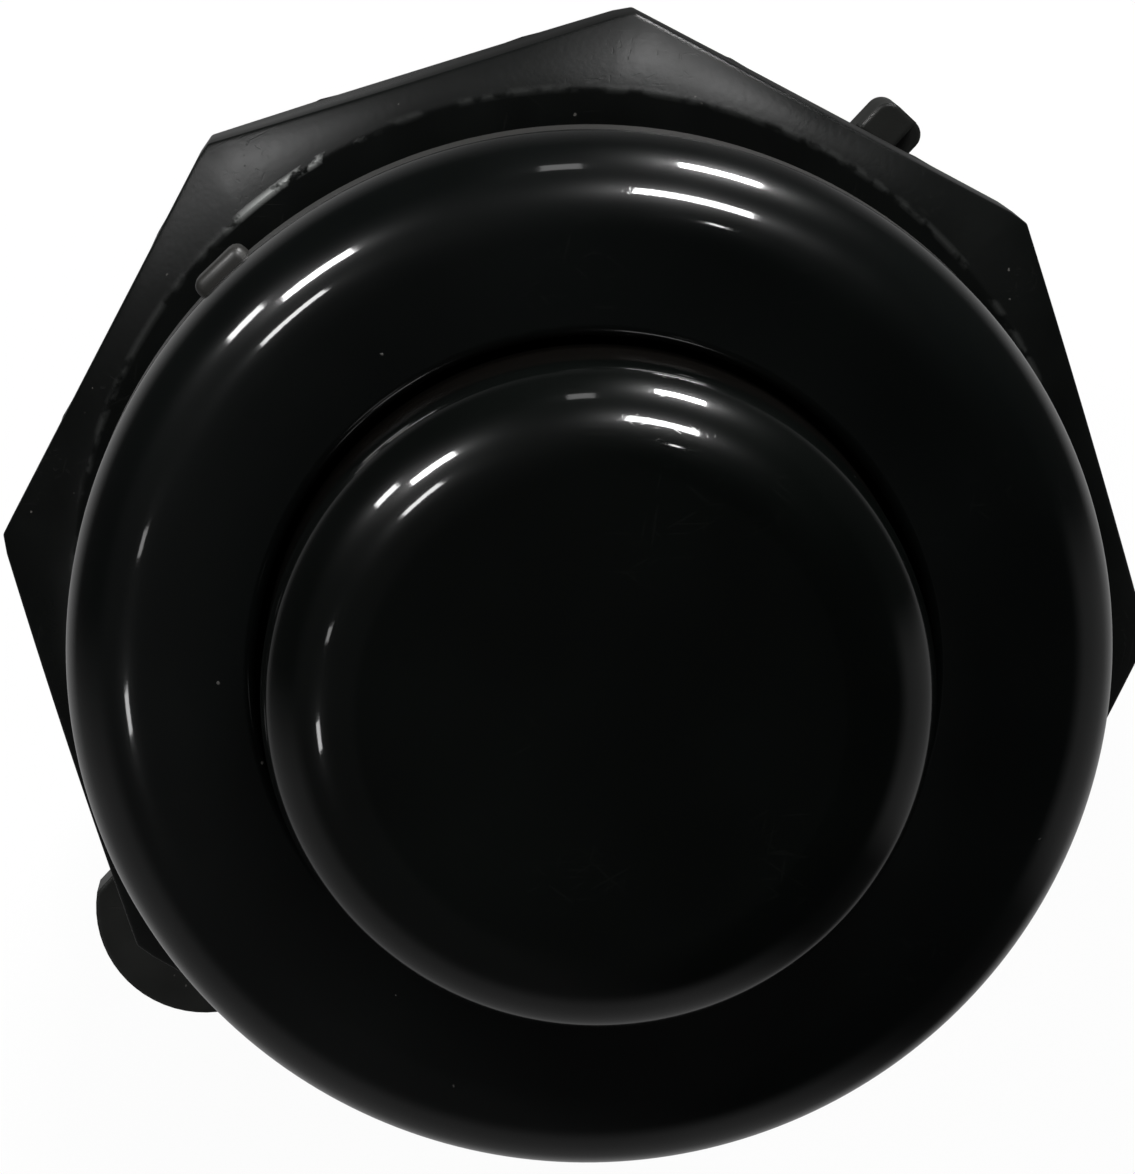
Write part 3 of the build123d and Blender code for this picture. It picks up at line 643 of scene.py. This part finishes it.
def gloss_black(name, colour, ripple_scale, matt_below, matt_colour, matt_finish):
    """Glossy black ABS: ripple, haze, scratches and dust, and matt below the polished part."""
    material, tree, skin, place = new_material(
        name, Specular_IOR_Level=0.45, Coat_Roughness=0.27, Coat_IOR=1.5
    )
    ripple = with_effect(tree, RIPPLE, place, Scale=ripple_scale, Grain=0.06)
    scratches = with_effect(tree, SCRATCHES, place, Scale=9000.0, Amount=0.35)
    dust = with_effect(tree, DUST, place, Scale=1100.0, Amount=0.22)
    tone = coloured(
        tree, ranged(tree, ripple, 0.35, 0.75), colour, [1.5 * part for part in colour]
    )
    upright = tree.nodes.new("ShaderNodeSeparateXYZ")
    tree.links.new(place, upright.inputs[0])
    matt = ranged(tree, upright.outputs["Z"], matt_below, matt_below - POLISH_BORDER)
    tone = coloured(tree, matt, tone, matt_colour)
    tone = coloured(tree, times(tree, scratches, 0.02), tone, DUST_COLOUR)
    tone = coloured(tree, times(tree, dust, 0.35), tone, DUST_COLOUR)
    tree.links.new(tone, skin["Base Color"])
    polish = noise(tree, place, GLOSS_POLISH_SCALE, detail=4.0)
    polish = ranged(tree, polish, 0.3, 0.7, *GLOSS_ROUGHNESS)
    polish = raised(tree, polish, matt, amount=matt_finish)
    polish = raised(tree, polish, scratches, amount=0.12)
    polish = raised(tree, polish, dust, amount=0.5)
    tree.links.new(polish, skin["Roughness"])
    haze = noise(tree, place, GLOSS_HAZE_SCALE, detail=3.0)
    haze = ranged(tree, haze, 0.35, 0.65, *GLOSS_HAZE)
    tree.links.new(haze, skin["Coat Weight"])
    height = raised(tree, ripple, dust, amount=1.5)
    height = raised(tree, height, scratches, amount=-0.12)
    bump = add(tree, "Bump", {"Strength": 1.0, "Distance": GLOSS_BUMP, "Height": height})
    tree.links.new(bump, skin["Normal"])
    return material


bezel_black = gloss_black(
    "bezel_black", BEZEL_COLOUR, BEZEL_RIPPLE, SIDE_WALL, WALL_COLOUR, WALL_FINISH
)
finished(bezel, "housing", bezel_black, "bezel_gloss", "bezel")

# Thread
# The coarse thread moulded round the barrel for the panel nut. It is the same plastic as the
# bezel and is broken by the two slots of the twist lock.
THREAD_CREST_R = 0.014
THREAD_PITCH = 0.0015
THREAD_TURNS = 12
THREAD_START = -0.0041
THREAD_BURIED = 0.00005
THREAD_FOOT = 0.00124
THREAD_CREST_SHARE = 0.2
THREAD_STEPS = 96


def wound(piece, pitch, turns, steps):
    """Winds an open outline round the axis, closes both ends and turns the normals outward."""
    winding = piece.modifiers.new("winding", "SCREW")
    winding.angle = 2 * math.pi
    winding.screw_offset = pitch
    winding.iterations = turns
    winding.steps = steps
    winding.render_steps = steps
    bpy.ops.object.modifier_apply(modifier=winding.name)
    bpy.ops.object.mode_set(mode="EDIT")
    bpy.ops.mesh.select_all(action="SELECT")
    bpy.ops.mesh.fill_holes(sides=0)
    bpy.ops.mesh.select_all(action="SELECT")
    bpy.ops.mesh.normals_make_consistent(inside=False)
    bpy.ops.object.mode_set(mode="OBJECT")


thread_low_r = THREAD_ROOT_R - THREAD_BURIED
bpy.ops.object.select_all(action="DESELECT")
bpy.ops.mesh.primitive_plane_add(size=1, rotation=(math.pi / 2, 0, 0))
thread = bpy.context.object
thread.name = "bezel_thread"
bpy.ops.object.transform_apply(location=True, rotation=True, scale=True)
bpy.ops.transform.resize(value=(THREAD_CREST_R - thread_low_r, 1, THREAD_FOOT))
bpy.ops.transform.translate(value=((THREAD_CREST_R + thread_low_r) / 2, 0, THREAD_START))
bpy.ops.object.transform_apply(location=True, rotation=True, scale=True)
crest_middle = (THREAD_CREST_R + thread_low_r) / 2
for vertex in thread.data.vertices:
    vertex.select = vertex.co.x > crest_middle
for edge in thread.data.edges:
    edge.select = all(thread.data.vertices[i].select for i in edge.vertices)
for face in thread.data.polygons:
    face.select = False
bpy.ops.object.mode_set(mode="EDIT")
bpy.ops.mesh.select_mode(type="VERT")
bpy.ops.transform.resize(
    value=(1, 1, THREAD_CREST_SHARE), center_override=(THREAD_CREST_R, 0, THREAD_START)
)
bpy.ops.mesh.select_all(action="SELECT")
bpy.ops.mesh.delete(type="ONLY_FACE")
bpy.ops.object.mode_set(mode="OBJECT")
wound(thread, -THREAD_PITCH, THREAD_TURNS, THREAD_STEPS)
combined(thread, slots, "DIFFERENCE")
smoothed(thread, SHARP_ANGLE)
finished(thread, "housing", bezel_black, "bezel_gloss")

# Plunger
# A hollow cap of the same glossy black ABS with a flat top and a rounded edge. Six ribs under its
# roof carry the return spring round the stem that works the switch.
PLUNGER_R = 0.0102
PLUNGER_ROUND = 0.003
PLUNGER_TOP = 0.0125
PLUNGER_WALL_R = 0.0085
SKIRT_BOTTOM = -0.0035
ROOF = 0.0106
ROOF_ROUND = 0.0011
RIB_BOTTOM = 0.0066
RIB_HALF = 0.0006
RIB_COUNT = 6
STEM_R = 0.003
STEM_GROOVE_R = 0.0025
GROOVE_TOP = -0.01707
GROOVE_BOTTOM = -0.01767
STEM_END = -0.0226
SKIRT_BREAK = 0.0002
STEM_CHAMFER = 0.0005
RIB_OVERLAP = 0.0005
PLUNGER_COLOUR = (0.0008, 0.0012, 0.001)
PLUNGER_RIPPLE = 210.0
PLUNGER_WALL_COLOUR = (0.0035, 0.003, 0.0025)
PLUNGER_WALL_FINISH = 0.06
plunger_outline = [(0, PLUNGER_TOP)]
plunger_outline += arc(
    PLUNGER_R - PLUNGER_ROUND, PLUNGER_TOP - PLUNGER_ROUND, PLUNGER_ROUND,
    start=90, stop=0, count=36,
)
plunger_outline += [
    (PLUNGER_R, SKIRT_BOTTOM + SKIRT_BREAK),
    (PLUNGER_R - SKIRT_BREAK, SKIRT_BOTTOM),
    (PLUNGER_WALL_R + EDGE_BREAK, SKIRT_BOTTOM),
    (PLUNGER_WALL_R, SKIRT_BOTTOM + EDGE_BREAK),
]
plunger_outline += arc(
    PLUNGER_WALL_R - ROOF_ROUND, ROOF - ROOF_ROUND, ROOF_ROUND, start=0, stop=90, count=6
)
plunger_outline += [
    (STEM_R, ROOF),
    (STEM_R, GROOVE_TOP),
    (STEM_GROOVE_R, GROOVE_TOP),
    (STEM_GROOVE_R, GROOVE_BOTTOM),
    (STEM_R, GROOVE_BOTTOM),
    (STEM_R, STEM_END + STEM_CHAMFER),
    (STEM_R - STEM_CHAMFER, STEM_END),
    (0, STEM_END),
]
plunger = turned("plunger_cap", plunger_outline, ROUND_STEPS)
first_rib = block(
    "rib",
    STEM_R - RIB_OVERLAP, PLUNGER_WALL_R + RIB_OVERLAP,
    -RIB_HALF, RIB_HALF,
    RIB_BOTTOM, ROOF + RIB_OVERLAP,
)
ribs = [first_rib]
for i in range(1, RIB_COUNT):
    bpy.ops.object.select_all(action="DESELECT")
    first_rib.select_set(True)
    bpy.ops.object.duplicate(linked=False)
    rib = bpy.context.selected_objects[0]
    rib.rotation_euler = (0, 0, 2 * math.pi / RIB_COUNT * i)
    bpy.context.view_layer.objects.active = rib
    bpy.ops.object.transform_apply(location=True, rotation=True, scale=True)
    ribs.append(rib)
combined(plunger, ribs, "UNION")
smoothed(plunger, SHARP_ANGLE)
plunger_black = gloss_black(
    "plunger_black", PLUNGER_COLOUR, PLUNGER_RIPPLE,
    PLUNGER_TOP - PLUNGER_ROUND, PLUNGER_WALL_COLOUR, PLUNGER_WALL_FINISH,
)
finished(plunger, "plunger", plunger_black, "plunger_gloss", "plunger")

# Return spring and stem clip
# A coil of drawn spring wire that stands on the web and lifts the plunger by its ribs; in the
# button it shortens when the button is pressed, and here it is built at the length it has with the
# button up. A stamped steel ring, pushed into the stem's groove, stops the plunger against the web.
SPRING_R = 0.0054
SPRING_WIRE_R = 0.0004
SPRING_TURNS = 7
SPRING_STEPS = 48
SPRING_WIRE_SIDES = 12
SPRING_SHARP_ANGLE = 50
STEEL = (0.42, 0.43, 0.44)
STEEL_STAIN = (0.2, 0.19, 0.17)
METAL_SHARE = 0.7
METAL_FINISH_SPREAD = (-0.08, 0.1)
METAL_BUMP = 0.6
EDGE_SAMPLES = 6
EDGE_TURN = (0.995, 0.85)
WEAR_BORDER = (0.38, 0.62)
TARNISH_SCALE = 260.0
TARNISH_BORDER = (0.45, 0.72)


def worn_edge():
    """The edges of a piece, in a band that wear has broken up."""
    group, given, result = effect("worn_edge", "Mask", Width=0.00015, Scale=900.0)
    rounded = add(group, "Bevel", {"Radius": given["Width"]}, samples=EDGE_SAMPLES)
    shape = group.nodes.new("ShaderNodeNewGeometry")
    facing = group.nodes.new("ShaderNodeVectorMath")
    facing.operation = "DOT_PRODUCT"
    group.links.new(rounded, facing.inputs[0])
    group.links.new(shape.outputs["Normal"], facing.inputs[1])
    edge = ranged(group, facing.outputs["Value"], *EDGE_TURN)
    broken = ranged(group, noise(group, given["Place"], given["Scale"]), *WEAR_BORDER)
    group.links.new(times(group, edge, broken), result)
    return group


WORN = worn_edge()


def metal(name, colour, stain, roughness, stretch, bump_height):
    """Thin metal: drawn or rolled streaks, patches of tarnish, brighter worn edges and dust."""
    material, tree, skin, place = new_material(name, Metallic=METAL_SHARE)
    streaks = add(tree, "Mapping", {"Vector": place, "Scale": stretch})
    streaks = noise(tree, streaks, scale=1.0, detail=4.0)
    tarnish = ranged(tree, noise(tree, place, TARNISH_SCALE, detail=5.0), *TARNISH_BORDER)
    edges = with_effect(tree, WORN, place, Width=0.00008, Scale=1400.0)
    dust = with_effect(tree, DUST, place, Scale=1600.0, Amount=0.25)
    tone = coloured(
        tree, ranged(tree, streaks, 0.3, 0.7), [0.82 * part for part in colour], colour
    )
    tone = coloured(tree, times(tree, tarnish, 0.6), tone, stain)
    tone = coloured(tree, times(tree, edges, 0.5), tone, [min(1, 1.15 * p) for p in colour])
    tone = coloured(tree, times(tree, dust, 0.5), tone, DUST_COLOUR)
    tree.links.new(tone, skin["Base Color"])
    smooth, rough = [roughness + part for part in METAL_FINISH_SPREAD]
    finish = ranged(tree, streaks, 0.25, 0.75, smooth, rough)
    finish = raised(tree, finish, tarnish, amount=0.15)
    tree.links.new(finish, skin["Roughness"])
    bump = add(
        tree, "Bump", {"Strength": METAL_BUMP, "Distance": bump_height, "Height": streaks}
    )
    tree.links.new(bump, skin["Normal"])
    return material


spring_steel = metal(
    "spring_steel", STEEL, STEEL_STAIN,
    roughness=0.3, stretch=(2600, 2600, 700), bump_height=0.000004,
)
bpy.ops.object.select_all(action="DESELECT")
bpy.ops.mesh.primitive_circle_add(
    vertices=SPRING_WIRE_SIDES, radius=SPRING_WIRE_R, rotation=(math.pi / 2, 0, 0)
)
spring = bpy.context.object
spring.name = "return_spring_coil"
bpy.ops.transform.translate(value=(SPRING_R, 0, WEB_TOP + SPRING_WIRE_R))
bpy.ops.object.transform_apply(location=True, rotation=True, scale=True)
spring_pitch = (RIB_BOTTOM - WEB_TOP - 2 * SPRING_WIRE_R) / SPRING_TURNS
wound(spring, spring_pitch, SPRING_TURNS, SPRING_STEPS)
smoothed(spring, SPRING_SHARP_ANGLE)
spring.data.materials.clear()
spring.data.materials.append(spring_steel)
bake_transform(spring)
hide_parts("return_spring")
nodes["stem_clip"].data.materials[0] = spring_steel

# Panel nut
# An octagonal black nylon nut, moulded with a round washer face below which its corners slope
# away. It clamps the panel against the flange.
NUT_FLATS = 0.0361
NUT_FACE = -0.0083
NUT_THICKNESS = 0.0056
NUT_WASHER_R = 0.017
NUT_SLOPE = math.radians(28)
NUT_REAR_R = 0.01845
NUT_REAR_CHAMFER = 0.0008
NUT_TURN = math.radians(37.8)
NUT_BORE_R = 0.01405
NUT_LEAD = 0.0003
NUT_EDGE = 0.00013
NUT_EDGE_STEPS = 2
NUT_EDGE_ANGLE = math.radians(18)
NUT_SHARP_ANGLE = 40
NUT_STEPS = 192
NUT_SIDES = 8
NUT_PAST_CORNERS = 0.0005
NUT_COLOUR = (0.002, 0.0024, 0.0022)
SATIN_FINISH_SPREAD = (-0.1, 0.12)
SATIN_MOTTLE_SCALE = 320.0
# A pale painted highlight: the raised line at the washer's edge is a bump, coloured pale as a glint
# of the left lamp and kept full only on the side towards that lamp.
FLASH_GLINT_COLOUR = (0.3, 0.31, 0.3)
FLASH_GLINT_SIDE = (-0.2215, -0.975, 0.0)
FLASH_GLINT_BORDER = (0.984, 0.998)
FLASH_GLINT_ELSEWHERE = 0.06
FLASH_HALF_WIDTH = 0.00018
FLASH_CHIP_SCALE = 1500.0
FLASH_CHIP_BORDER = (0.42, 0.54)


def flash_line_and_glint():
    """A thin raised line of flash round the axis, chipped, full on the side towards the left lamp
    and faint elsewhere. It raises the line and places its painted glint.
    """
    group, given, result = effect(
        "flash_line_and_glint", "Mask", Radius=NUT_WASHER_R, Width=FLASH_HALF_WIDTH
    )
    across = add(group, "VectorMath", {0: given["Place"], 1: (1, 1, 0)}, operation="MULTIPLY")
    reach = group.nodes.new("ShaderNodeVectorMath")
    reach.operation = "LENGTH"
    group.links.new(across, reach.inputs[0])
    off = add(
        group, "Math", {0: reach.outputs["Value"], 1: given["Radius"]}, operation="SUBTRACT"
    )
    off = add(group, "Math", {0: off}, operation="ABSOLUTE")
    line = ranged(group, off, given["Width"], 0.0)
    chips = noise(group, given["Place"], FLASH_CHIP_SCALE, detail=3.0)
    whole = ranged(group, chips, *FLASH_CHIP_BORDER)
    # The line and its painted glint are full only on the side towards the left lamp.
    lean = along(group, levelled(group, given["Place"]), FLASH_GLINT_SIDE)
    glint_side = ranged(group, lean, *FLASH_GLINT_BORDER, FLASH_GLINT_ELSEWHERE, 1.0)
    group.links.new(times(group, times(group, line, whole), glint_side), result)
    return group


FLASH_AND_GLINT = flash_line_and_glint()


def satin_plastic(name, colour, roughness, shine, grain_scale, edge_width, bump_height, flash_glint_r=0):
    """Satin moulded plastic: mottled tone, fine grain, softened and lightly rubbed edges, dust,
    and, with a radius given, a raised line with a painted glint.
    """
    material, tree, skin, place = new_material(name, Specular_IOR_Level=shine)
    grain = with_effect(tree, RIPPLE, place, Scale=grain_scale, Grain=0.12)
    edges = with_effect(tree, WORN, place, Width=edge_width, Scale=1100.0)
    dust = with_effect(tree, DUST, place, Scale=1300.0, Amount=0.35)
    scuffs = with_effect(tree, SCRATCHES, place, Scale=7000.0, Amount=0.25)
    mottle = ranged(tree, noise(tree, place, SATIN_MOTTLE_SCALE, detail=6.0), 0.3, 0.7)
    tone = coloured(tree, mottle, [0.75 * p for p in colour], [1.35 * p for p in colour])
    tone = coloured(tree, times(tree, edges, 0.5), tone, [min(1, 3.5 * p) for p in colour])
    tone = coloured(tree, times(tree, scuffs, 0.06), tone, DUST_COLOUR)
    tone = coloured(tree, times(tree, dust, 0.4), tone, DUST_COLOUR)
    height = raised(tree, grain, scuffs, amount=-0.4)
    if flash_glint_r:
        flash_and_glint = with_effect(tree, FLASH_AND_GLINT, place, Radius=flash_glint_r)
        # Painted highlight: the pale colour on the raised line stands in for a glint of the left
        # lamp.
        tone = coloured(tree, times(tree, flash_and_glint, 0.7), tone, FLASH_GLINT_COLOUR)
        height = raised(tree, height, flash_and_glint, amount=1.6)
    tree.links.new(tone, skin["Base Color"])
    smooth, rough = [roughness + part for part in SATIN_FINISH_SPREAD]
    finish = ranged(tree, grain, 0.3, 1.0, smooth, rough)
    finish = raised(tree, finish, edges, amount=-0.2)
    tree.links.new(finish, skin["Roughness"])
    soft_edges = add(tree, "Bevel", {"Radius": edge_width}, samples=EDGE_SAMPLES)
    bump = add(tree, "Bump", {
        "Strength": 1.0, "Distance": bump_height, "Height": height, "Normal": soft_edges,
    })
    tree.links.new(bump, skin["Normal"])
    return material


nut_rear = NUT_FACE - NUT_THICKNESS
half_side = math.pi / NUT_SIDES
past_corners = NUT_FLATS / 2 / math.cos(half_side) + NUT_PAST_CORNERS
slope_drop = (past_corners - NUT_WASHER_R) * math.tan(NUT_SLOPE)
nut_outline = [
    (NUT_BORE_R, NUT_FACE - NUT_LEAD),
    (NUT_BORE_R + NUT_LEAD, NUT_FACE),
    (NUT_WASHER_R, NUT_FACE),
    (past_corners, NUT_FACE - slope_drop),
    (past_corners, nut_rear + NUT_REAR_CHAMFER),
    (NUT_REAR_R, nut_rear),
    (NUT_BORE_R + NUT_LEAD, nut_rear),
    (NUT_BORE_R, nut_rear + NUT_LEAD),
    (NUT_BORE_R, NUT_FACE - NUT_LEAD),
]
nut = turned("nut_moulding", nut_outline, NUT_STEPS)
bpy.ops.object.mode_set(mode="EDIT")
for i in range(NUT_SIDES):
    angle = NUT_TURN + half_side * (1 + 2 * i)
    outward = Vector((math.cos(angle), math.sin(angle), 0))
    bpy.ops.mesh.select_all(action="SELECT")
    bpy.ops.mesh.bisect(
        plane_co=outward * NUT_FLATS / 2, plane_no=outward, use_fill=True, clear_outer=True
    )
bpy.ops.mesh.select_all(action="SELECT")
bpy.ops.mesh.remove_doubles(threshold=MERGE_GAP)
bpy.ops.mesh.normals_make_consistent(inside=False)
bpy.ops.object.mode_set(mode="OBJECT")
nut_edges = nut.modifiers.new("nut_edges", "BEVEL")
nut_edges.width = NUT_EDGE
nut_edges.segments = NUT_EDGE_STEPS
nut_edges.limit_method = "ANGLE"
nut_edges.angle_limit = NUT_EDGE_ANGLE
bpy.ops.object.modifier_apply(modifier=nut_edges.name)
smoothed(nut, NUT_SHARP_ANGLE)
nut_black = satin_plastic(
    "nut_black", NUT_COLOUR, roughness=0.33, shine=0.17, grain_scale=190.0,
    edge_width=0.0002, bump_height=0.00003, flash_glint_r=NUT_WASHER_R,
)
finished(nut, "housing", nut_black, "nut_nylon", "panel_nut")

# Switch holder
# A black PBT plate that twist-locks in the barrel's end. It has a rounded grip tab, a narrow latch
# and two cheeks whose pegs fill the switch's fixing holes.
HOLDER_COLOUR = (0.011, 0.0115, 0.0105)
holder_black = satin_plastic(
    "holder_black", HOLDER_COLOUR, roughness=0.42, shine=0.35, grain_scale=520.0,
    edge_width=0.00025, bump_height=0.00004,
)
nodes["switch_holder"].data.materials[0] = holder_black

# Switch case and cover
# The tray and the lid of the snap-action switch, moulded in matt black PBT with a fine spark
# grain.
CASE_COLOUR = (0.013, 0.013, 0.0135)
case_black = satin_plastic(
    "case_black", CASE_COLOUR, roughness=0.52, shine=0.35, grain_scale=900.0,
    edge_width=0.00015, bump_height=0.00003,
)
nodes["switch_case"].data.materials[0] = case_black
nodes["switch_cover"].data.materials[0] = case_black

# Cover eyelets, spring anchor and its rivet
# Brass: two rolled eyelets that hold the lid on the tray, and inside it the bent strip that the
# arm's spring hooks into, with the rivet that fixes the strip.
BRASS = (0.62, 0.45, 0.2)
BRASS_STAIN = (0.33, 0.2, 0.08)
brass = metal(
    "brass", BRASS, BRASS_STAIN,
    roughness=0.28, stretch=(900, 2400, 900), bump_height=0.000003,
)
for name in ("cover_eyelets", "spring_anchor", "anchor_rivet"):
    nodes[name].data.materials[0] = brass

# Actuator pin
# The switch's pin of pale acetal, with a forked foot on the moving arm.
PIN_COLOUR = (0.6, 0.58, 0.52)
pin_ivory = satin_plastic(
    "pin_ivory", PIN_COLOUR, roughness=0.38, shine=0.45, grain_scale=700.0,
    edge_width=0.0001, bump_height=0.00001,
)
nodes["actuator_pin"].data.materials[0] = pin_ivory

# Contact arm and its tension spring
# The arm is rolled beryllium copper, and the small spring beside the pin's foot is steel wire.
COPPER = (0.72, 0.4, 0.25)
COPPER_STAIN = (0.4, 0.2, 0.12)
arm_copper = metal(
    "arm_copper", COPPER, COPPER_STAIN,
    roughness=0.26, stretch=(500, 3200, 3200), bump_height=0.000003,
)
nodes["contact_arm"].data.materials[0] = arm_copper
nodes["tension_spring"].data.materials[0] = spring_steel

# Contacts
# Silver rivets: the double-faced one on the arm, and the two fixed ones.
SILVER = (0.8, 0.79, 0.76)
SILVER_STAIN = (0.45, 0.41, 0.34)
contact_silver = metal(
    "contact_silver", SILVER, SILVER_STAIN,
    roughness=0.22, stretch=(1800, 1800, 1800), bump_height=0.000002,
)
for name in ("moving_contact", "nc_contact", "no_contact"):
    nodes[name].data.materials[0] = contact_silver

# Terminals
# Stamped brass tabs with a tin plating, which push-on connectors slide over.
TIN = (0.62, 0.61, 0.58)
TIN_STAIN = (0.4, 0.37, 0.3)
tinned_brass = metal(
    "tinned_brass", TIN, TIN_STAIN,
    roughness=0.34, stretch=(2600, 2600, 500), bump_height=0.000004,
)
for name in ("com_terminal", "no_terminal", "nc_terminal"):
    nodes[name].data.materials[0] = tinned_brass
